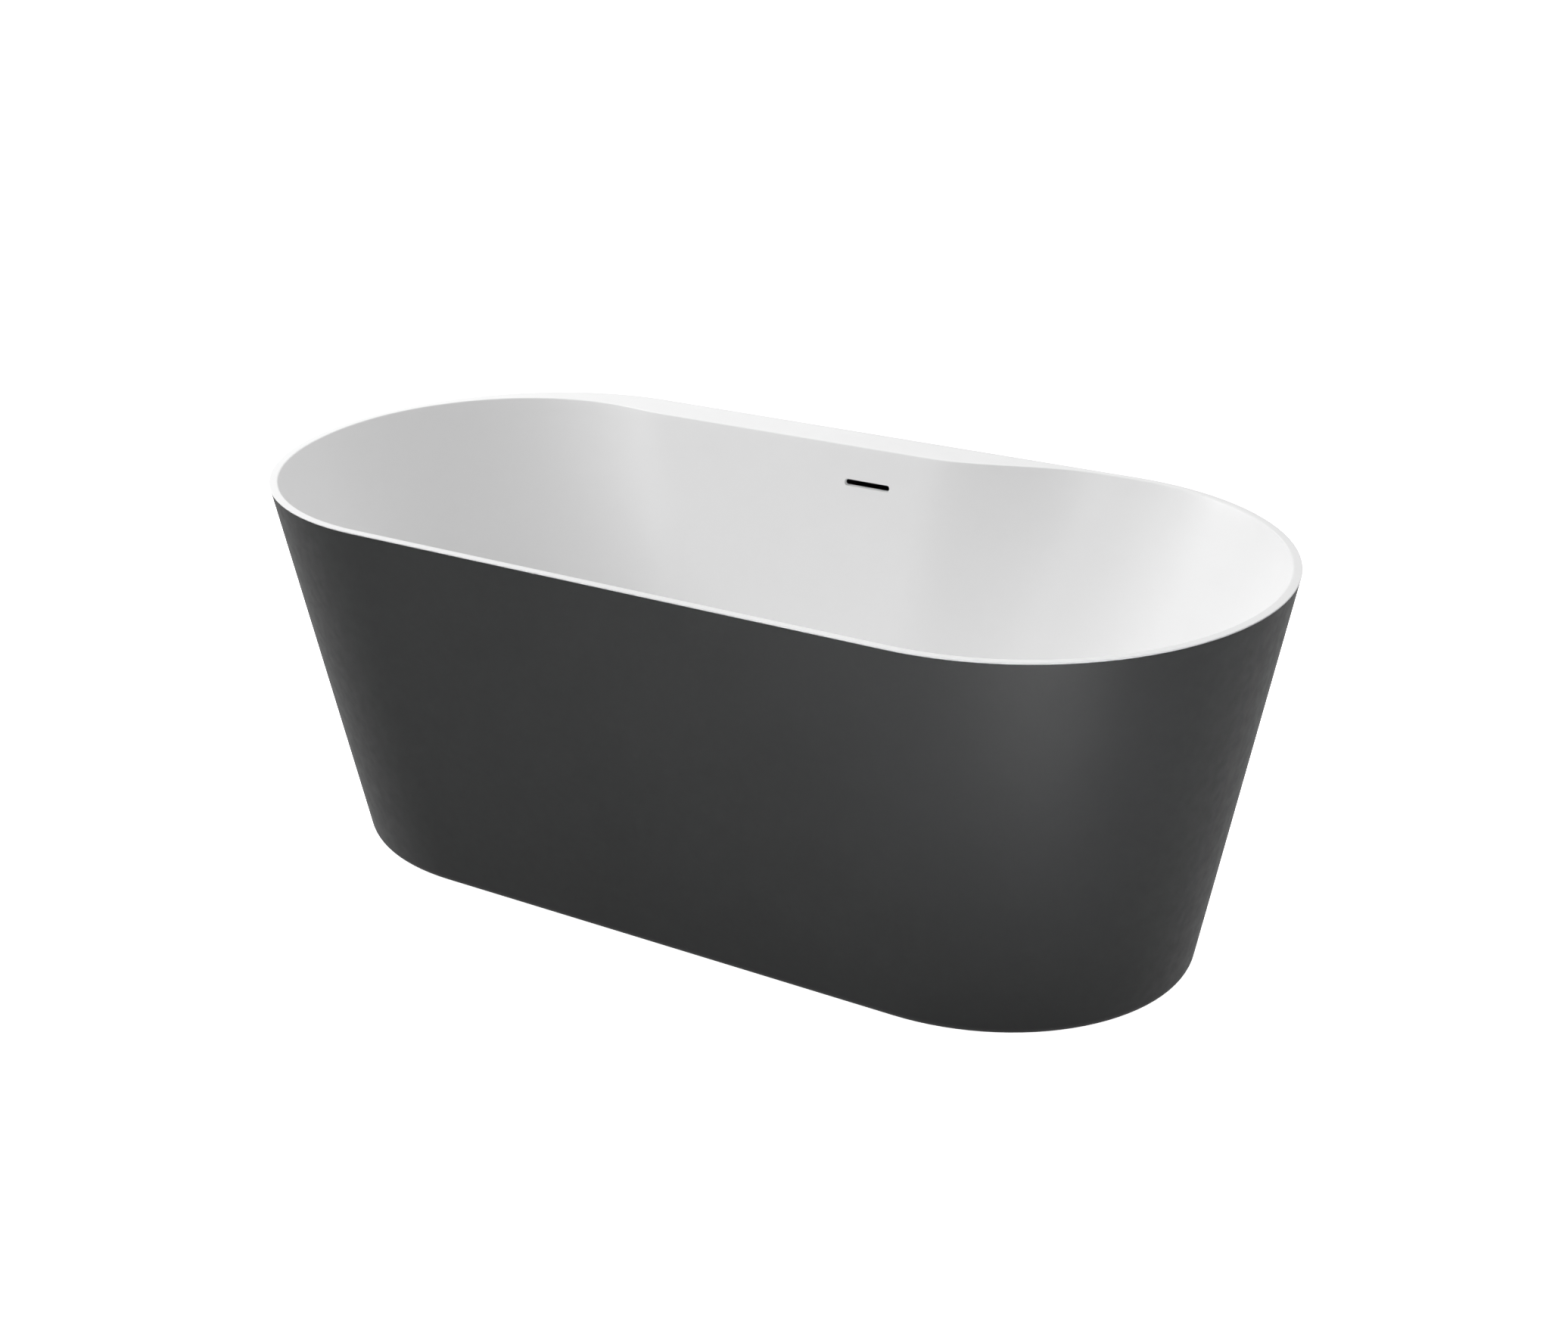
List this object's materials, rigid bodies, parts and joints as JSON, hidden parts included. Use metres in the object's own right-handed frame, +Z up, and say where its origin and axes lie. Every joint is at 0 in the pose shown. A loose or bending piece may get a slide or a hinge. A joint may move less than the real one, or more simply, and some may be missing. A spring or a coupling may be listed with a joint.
{
  "type": "freestanding bathtub",
  "caption": "Freestanding oval bathtub: white basin with a wide tap ledge in a dark tapered shell, on a steel frame with levelling feet, click waste, trap and slot overflow.",
  "frame": {"origin": "on the floor plane under the middle of the tub: bottom centre of the bounding box", "axes": "+X along the tub's length, +Y towards the long side with the overflow and the wide ledge, +Z up"},
  "size_m": [1.6, 0.8, 0.6],
  "materials": {
    "white_composite": "satin",
    "anthracite_composite": "matt",
    "adhesive": "matt",
    "foam": "matt",
    "board": "matt",
    "zinced_steel": "satin",
    "chrome": "polished",
    "rubber": "matt",
    "black_plastic": "satin",
    "white_plastic": "satin"
  },
  "bodies": {
    "tub": {"basin": "white_composite", "outer_shell": "anthracite_composite", "rim_bond": "adhesive", "spacer_front_left": "foam", "spacer_front_right": "foam", "spacer_back_left": "foam", "spacer_back_right": "foam", "base_board": "board", "rail_back": "zinced_steel", "rail_front": "zinced_steel", "bar_left": "zinced_steel", "bar_right": "zinced_steel", "bar_middle": "zinced_steel", "frame_screw_back_left": "zinced_steel", "frame_screw_back_right": "zinced_steel", "frame_screw_front_left": "zinced_steel", "frame_screw_front_right": "zinced_steel", "foot_nut_back_left": "zinced_steel", "lock_nut_back_left": "zinced_steel", "foot_nut_back_right": "zinced_steel", "lock_nut_back_right": "zinced_steel", "foot_nut_front_left": "zinced_steel", "lock_nut_front_left": "zinced_steel", "foot_nut_front_right": "zinced_steel", "lock_nut_front_right": "zinced_steel", "foot_nut_middle": "zinced_steel", "lock_nut_middle": "zinced_steel", "waste_flange": "chrome", "overflow_trim": "chrome", "flange_gasket": "rubber", "body_gasket": "rubber", "trap_gasket": "rubber", "outlet_seal": "rubber", "overflow_gasket": "rubber", "click_cartridge": "black_plastic", "overflow_housing": "black_plastic", "overflow_hose": "black_plastic", "overflow_screw_left": "zinced_steel", "overflow_screw_right": "zinced_steel", "hose_clamp_top": "zinced_steel", "hose_clamp_bottom": "zinced_steel", "waste_body": "white_plastic", "trap_cup": "white_plastic", "trap_nut": "white_plastic", "outlet_nut": "white_plastic"},
    "foot_back_left": {"foot_pad_back_left": "black_plastic"},
    "stud_back_left": {"foot_stud_back_left": "zinced_steel"},
    "foot_back_right": {"foot_pad_back_right": "black_plastic"},
    "stud_back_right": {"foot_stud_back_right": "zinced_steel"},
    "foot_front_left": {"foot_pad_front_left": "black_plastic"},
    "stud_front_left": {"foot_stud_front_left": "zinced_steel"},
    "foot_front_right": {"foot_pad_front_right": "black_plastic"},
    "stud_front_right": {"foot_stud_front_right": "zinced_steel"},
    "foot_middle": {"foot_pad_middle": "black_plastic"},
    "stud_middle": {"foot_stud_middle": "zinced_steel"},
    "plug": {"plug_stem": "zinced_steel", "plug_seal": "rubber", "plug_cap": "chrome"}
  },
  "joints": [
    {"name": "level_back_left", "type": "slide", "parent": "tub", "child": "foot_back_left", "axis": [0, 0, 1], "range_m": [-0.02, 0]},
    {"name": "screw_back_left", "type": "hinge", "parent": "foot_back_left", "child": "stud_back_left", "pos_m": [-0.4275, 0.2, 0], "axis": [0, 0, 1], "range_deg": [-4115, 0]},
    {"name": "level_back_right", "type": "slide", "parent": "tub", "child": "foot_back_right", "axis": [0, 0, 1], "range_m": [-0.02, 0]},
    {"name": "screw_back_right", "type": "hinge", "parent": "foot_back_right", "child": "stud_back_right", "pos_m": [0.4275, 0.2, 0], "axis": [0, 0, 1], "range_deg": [-4115, 0]},
    {"name": "level_front_left", "type": "slide", "parent": "tub", "child": "foot_front_left", "axis": [0, 0, 1], "range_m": [-0.02, 0]},
    {"name": "screw_front_left", "type": "hinge", "parent": "foot_front_left", "child": "stud_front_left", "pos_m": [-0.4275, -0.2, 0], "axis": [0, 0, 1], "range_deg": [-4115, 0]},
    {"name": "level_front_right", "type": "slide", "parent": "tub", "child": "foot_front_right", "axis": [0, 0, 1], "range_m": [-0.02, 0]},
    {"name": "screw_front_right", "type": "hinge", "parent": "foot_front_right", "child": "stud_front_right", "pos_m": [0.4275, -0.2, 0], "axis": [0, 0, 1], "range_deg": [-4115, 0]},
    {"name": "level_middle", "type": "slide", "parent": "tub", "child": "foot_middle", "axis": [0, 0, 1], "range_m": [-0.02, 0]},
    {"name": "screw_middle", "type": "hinge", "parent": "foot_middle", "child": "stud_middle", "pos_m": [-0.15, 0, 0], "axis": [0, 0, 1], "range_deg": [-4115, 0]},
    {"name": "plug_click", "type": "slide", "parent": "tub", "child": "plug", "axis": [0, 0, 1], "range_m": [0, 0.009]}
  ],
  "couplings": [
    {"joint": "screw_back_left", "follows": "level_back_left", "rad_per_m": 3590.4},
    {"joint": "screw_back_right", "follows": "level_back_right", "rad_per_m": 3590.4},
    {"joint": "screw_front_left", "follows": "level_front_left", "rad_per_m": 3590.4},
    {"joint": "screw_front_right", "follows": "level_front_right", "rad_per_m": 3590.4},
    {"joint": "screw_middle", "follows": "level_middle", "rad_per_m": 3590.4}
  ]
}
